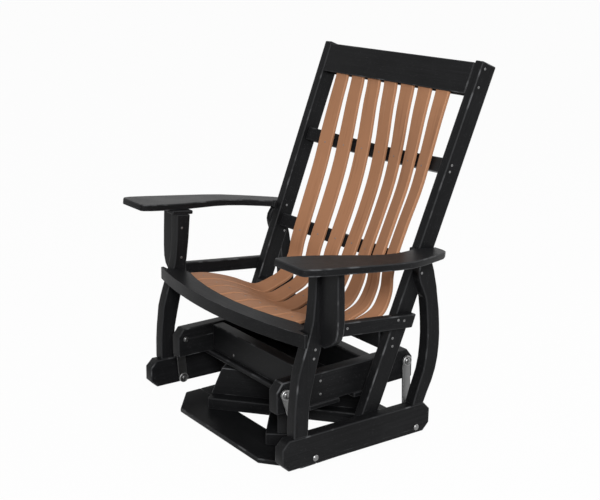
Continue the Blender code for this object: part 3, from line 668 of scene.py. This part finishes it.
for corner in corners:
    places = [vertex.co for vertex in looks["link_" + corner].data.vertices]
    both = bmesh.new()
    for row in ("upper", "lower"):
        low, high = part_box(f"bolt_{row}_{corner}")
        centre = (middle(low[1], high[1]), middle(low[2], high[2]))
        near = [place.x for place in places if math.dist(place.yz, centre) < bearings["outer"]]
        both.from_mesh(ringMesh(min(near) - bearings["proud"], max(near) + bearings["proud"], centre))
    bmesh.ops.remove_doubles(both, verts=both.verts, dist=bearings["merge"])
    bmesh.ops.recalc_face_normals(both, faces=both.faces)
    mesh = bpy.data.meshes.new("bearings")
    both.to_mesh(mesh)
    both.free()
    mesh.set_sharp_from_angle(angle=turnedCrease)
    keep(placed("look_bearings_" + corner, mesh), bodyOf["link_" + corner], darkSteel)
print("bearings made")


# screws: heads let into the boards; each has a node, a point near it and the way it faces, and is mirrored
right, left, front, rear = Vector((1, 0, 0)), Vector((-1, 0, 0)), Vector((0, -1, 0)), Vector((0, 1, 0))
up = Vector((0, 0, 1))
screws = {
    "radius": 0.0037, "slatRadius": 0.0026, "proud": 0.0007, "recess": 0.0018, "steps": 14,
    "neckShare": 0.93, "sunk": 0.0012, "lip": 0.0002, "socketShare": 0.34,
    "domeShares": ((0.97, 0.7), (0.8, 1.0), (0.42, 1.1)),
    "standoff": 0.05, "facingLimit": 0.5,
    "slatSpread": {
        "back_rail_upper": 0.466, "back_rail_lower": 0.446, "under_board": 0.474, "rear_board": 0.464,
    },
    "places": (
        ("seat_rail_left", (0.378, -0.174, 0.419), right), ("seat_rail_left", (0.378, -0.153, 0.413), right),
        ("seat_rail_left", (0.378, 0.030, 0.399), right), ("seat_rail_left", (0.378, 0.052, 0.393), right),
        ("stile_left", (0.352, 0.034, 0.3355), right), ("stile_left", (0.352, 0.0345, 0.311), right),
        ("stile_left", (0.361, 0.231, 0.816), right), ("stile_left", (0.361, 0.224, 0.798), right),
        ("stile_left", (0.366, 0.339, 1.0805), right), ("stile_left", (0.366, 0.318, 1.030), right),
        ("stile_left", (0.352, 0.131, 0.555), right), ("stile_left", (0.352, 0.122, 0.532), right),
        ("stile_left", (0.322, 0.141, 0.579), left), ("stile_left", (0.321, 0.130, 0.494), left),
        ("front_leg_left", (0.346, -0.246, 0.5555), left), ("front_leg_left", (0.346, -0.251, 0.460), left),
        ("front_leg_left", (0.383, -0.265, 0.378), right), ("front_leg_left", (0.383, -0.270, 0.353), right),
        ("rear_leg_left", (0.383, 0.109, 0.525), right),
        ("box_side_left", (0.288, -0.176, 0.235), right), ("box_side_left", (0.288, -0.176, 0.195), right),
        ("box_side_left", (0.288, 0.022, 0.235), right), ("box_side_left", (0.288, 0.022, 0.195), right),
        ("box_cross_front", (0.129, -0.300, 0.186), front), ("box_cross_rear", (0.129, 0.100, 0.186), rear),
        ("top_rail", (0.300, 0.500, 1.060), rear), ("top_rail", (0.200, 0.500, 1.060), rear),
        ("top_rail", (0.100, 0.500, 1.060), rear),
    ),
}


def headMesh(radius):
    # a low dome with a socket in it
    top = screws["proud"]
    profile = [(radius * screws["neckShare"], -screws["sunk"]), (radius, -screws["lip"])]
    profile += [(radius * wide, top * high) for wide, high in screws["domeShares"]]
    profile += [(radius * screws["socketShare"], top - screws["recess"]), (0.0, top - screws["recess"])]
    return lathe(profile, screws["steps"])


def screwTree():
    # node tree: a head on every point, turned to the way stored there
    tree = newTree("screwSet", {"Points": "Geometry", "Head": "Object", "Finish": "Material"}, "Screws")
    given = tree.add("NodeGroupInput")
    stored = {"data_type": "FLOAT_VECTOR"}
    facing = tree.add("GeometryNodeInputNamedAttribute", stored, {"Name": "facing"})["Attribute"]
    turned = tree.add("FunctionNodeAlignRotationToVector", {"axis": "Z"}, {"Vector": facing})["Rotation"]
    head = tree.add("GeometryNodeObjectInfo", {}, {"Object": given["Head"]})["Geometry"]
    copies = {"Points": given["Points"], "Instance": head, "Rotation": turned}
    return endTree(tree, tree.add("GeometryNodeInstanceOnPoints", {}, copies)[0], given["Finish"])


screwSet = screwTree()


def landing(piece, place, facing):
    # where a line from outside meets the piece, and the way its face looks there
    start = Vector(place) + facing * screws["standoff"]
    found, at, normal, _ = piece.ray_cast(start, -facing)
    return (at, normal) if found and normal.dot(facing) > screws["facingLimit"] else None


def screwed(name, body, found, radius, finish):
    points = bpy.data.meshes.new(name)
    points.from_pydata([tuple(at) for at, normal in found], [], [])
    facing = points.attributes.new("facing", "FLOAT_VECTOR", "POINT")
    facing.data.foreach_set("vector", [value for at, normal in found for value in normal])
    head = placed("head", headMesh(radius))
    piece = runTree(name, points, screwSet, {"Head": head, "Finish": finish})
    bpy.data.objects.remove(head, do_unlink=True)
    keep(piece, body, finish)


flip = Vector((-1.0, 1.0, 1.0))
spots = {}
for node, place, facing in screws["places"]:
    twin = node.replace("left", "right")
    for name, point, way in ((node, Vector(place), facing), (twin, Vector(place) * flip, facing * flip)):
        spot = landing(looks[name], point, way)
        if spot:
            spots.setdefault(bodyOf[name], []).append(spot)
        else:
            print("no face for a screw:", name, tuple(point))
for body, found in spots.items():
    screwed("look_screws_" + body, body, found, screws["radius"], screwSteel)

# a brown screw where each slat crosses a board
slatSpots = []
for node, spread in screws["slatSpread"].items():
    low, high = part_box(node)
    upright = node.startswith("back_rail")
    start = (low[1], middle(low[2], high[2])) if upright else (middle(low[1], high[1]), high[2])
    for order in range(slats["count"]):
        x = (order / (slats["count"] - 1.0) - 0.5) * spread
        facing = front if upright else up
        spot = landing(slatSet, Vector((x, *start)) + facing * screws["standoff"], facing)
        if spot:
            slatSpots.append(spot)
screwed("look_screws_slats", "chair", slatSpots, screws["slatRadius"], brownScrew)
print("screws made:", sum(len(found) for found in spots.values()) + len(slatSpots))


# stage: a pale floor and sky that show white, a key light and two soft ones
stage = {
    "floor": 60.0, "drop": 0.0006, "floorColor": (0.70, 0.70, 0.70, 1.0), "floorRoughness": 0.9,
    "white": (1.0, 1.0, 1.0, 1.0), "whiteShare": 0.97, "sky": 0.16, "aim": (0.0, 0.0, 0.5),
    "lamps": (
        ("key", (3.9, -2.3, 2.6), 1.5, 235.0),
        ("top", (0.6, -0.2, 3.8), 2.0, 24.0),
        ("rear", (1.0, 4.0, 2.4), 2.4, 36.0),
    ),
}

reach = stage["floor"] / 2.0
outline = [(-reach, -reach, 0.0), (reach, -reach, 0.0), (reach, reach, 0.0), (-reach, reach, 0.0)]
floorMesh = bpy.data.meshes.new("floor")
floorMesh.from_pydata(outline, [], [(0, 1, 2, 3)])
floor = placed("floor", floorMesh)
floor.location.z = -stage["drop"]
floorFinish = Finish("paleFloor")
floorFinish.set(Base_Color=stage["floorColor"], Roughness=stage["floorRoughness"], Specular_IOR_Level=0.0)
glow = floorFinish.add("ShaderNodeEmission", {}, {"Color": stage["white"], "Strength": 1.0})[0]
lit = Wire(floorFinish, floorFinish.shader.outputs[0])
whiteness = floorFinish.seen() * stage["whiteShare"]
mixed = floorFinish.add("ShaderNodeMixShader", {}, {0: whiteness, 1: lit, 2: glow})[0]
floorFinish.feed(floorFinish.group.nodes["Material Output"].inputs["Surface"], mixed)
floorMesh.materials.append(floorFinish.material)

world = bpy.data.worlds.new("studio")
bpy.context.scene.world = world
world.use_nodes = True
sky = Tree(world.node_tree)
backdrop = world.node_tree.nodes["Background"]
level = sky.add("ShaderNodeMapRange", {}, {"Value": sky.seen(), "To Min": stage["sky"]})["Result"]
sky.feed(backdrop.inputs["Color"], stage["white"])
sky.feed(backdrop.inputs["Strength"], level)

for name, place, size, power in stage["lamps"]:
    lamp = bpy.data.lights.new(name, "AREA")
    lamp.shape = "DISK"
    lamp.size = size
    lamp.energy = power
    light = placed(name, lamp)
    light.location = place
    light.rotation_euler = (Vector(place) - Vector(stage["aim"])).to_track_quat("Z", "Y").to_euler()
bpy.context.scene.view_settings.view_transform = "Standard"
print("stage set")
